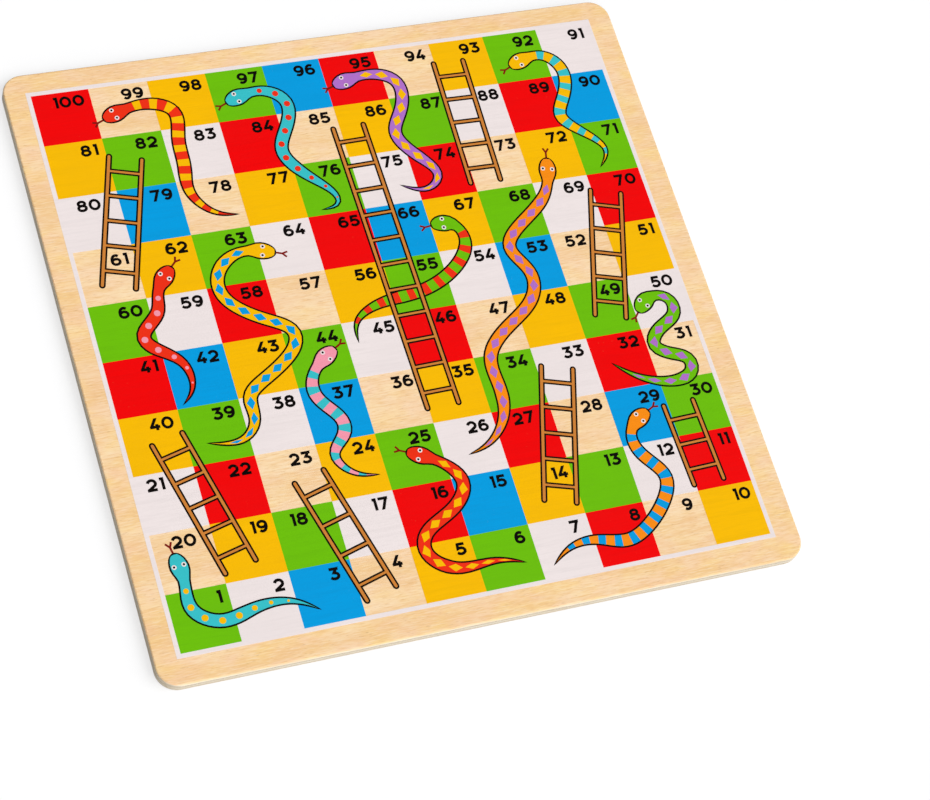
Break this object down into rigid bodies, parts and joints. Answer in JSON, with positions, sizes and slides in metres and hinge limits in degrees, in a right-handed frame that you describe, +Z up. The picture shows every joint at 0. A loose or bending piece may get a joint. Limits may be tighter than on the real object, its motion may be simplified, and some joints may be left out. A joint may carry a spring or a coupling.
{
  "type": "snakes and ladders board",
  "caption": "Flat square plywood game board with rounded corners and a printed field of numbered coloured squares, crossed by ladders and patterned snakes.",
  "frame": {"origin": "centre of the board's underside, on the surface that the board lies on", "axes": "+Z up out of the printed face, +X along the rows of squares from 1 to 10, +Y from the lowest row to the highest"},
  "size_m": [0.293, 0.293, 0.0062],
  "materials": {
    "face_veneer": "sanded, fine grain along X, clear matt lacquer",
    "crossband_veneer": "end grain at the edge",
    "core_veneer": "long grain at the edge",
    "back_veneer": "sanded, fine grain along X",
    "white_ink": "satin print",
    "yellow_ink": "satin print",
    "green_ink": "satin print",
    "red_ink": "satin print",
    "blue_ink": "satin print",
    "dark_ink": "satin print",
    "ladder_ink": "satin print",
    "tongue_ink": "satin print",
    "scarlet_ink": "satin print",
    "turquoise_ink": "satin print",
    "purple_ink": "satin print",
    "orange_ink": "satin print",
    "pink_ink": "satin print"
  },
  "bodies": {
    "root": {"back_ply": "back_veneer", "back_crossband": "crossband_veneer", "core_ply": "core_veneer", "front_crossband": "crossband_veneer", "front_ply": "face_veneer", "white_ground": "white_ink", "yellow_squares": "yellow_ink", "green_squares": "green_ink", "red_squares": "red_ink", "blue_squares": "blue_ink", "numbers": "dark_ink", "snake_outlines": "dark_ink", "ladder_outlines": "dark_ink", "snake_tongues": "tongue_ink", "snake_eyes": "white_ink", "snake_pupils": "dark_ink", "ladder_4_to_23": "ladder_ink", "ladder_11_to_30": "ladder_ink", "ladder_14_to_33": "ladder_ink", "ladder_19_to_40": "ladder_ink", "ladder_35_to_86": "ladder_ink", "ladder_49_to_70": "ladder_ink", "ladder_61_to_82": "ladder_ink", "ladder_73_to_93": "ladder_ink", "snake_99_to_78_body": "scarlet_ink", "snake_97_to_76_body": "turquoise_ink", "snake_95_to_75_body": "purple_ink", "snake_92_to_71_body": "yellow_ink", "snake_72_to_26_body": "orange_ink", "snake_67_to_45_body": "green_ink", "snake_64_to_39_body": "yellow_ink", "snake_62_to_42_body": "scarlet_ink", "snake_50_to_32_body": "green_ink", "snake_44_to_24_body": "pink_ink", "snake_29_to_7_body": "orange_ink", "snake_25_to_6_body": "scarlet_ink", "snake_20_to_3_body": "turquoise_ink", "snake_99_to_78_marks": "yellow_ink", "snake_97_to_76_marks": "scarlet_ink", "snake_95_to_75_marks": "yellow_ink", "snake_92_to_71_marks": "turquoise_ink", "snake_72_to_26_marks": "purple_ink", "snake_67_to_45_marks": "scarlet_ink", "snake_64_to_39_marks": "blue_ink", "snake_62_to_42_marks": "pink_ink", "snake_50_to_32_marks": "purple_ink", "snake_44_to_24_marks": "turquoise_ink", "snake_29_to_7_marks": "blue_ink", "snake_25_to_6_marks": "yellow_ink", "snake_20_to_3_marks": "yellow_ink"}
  },
  "joints": []
}
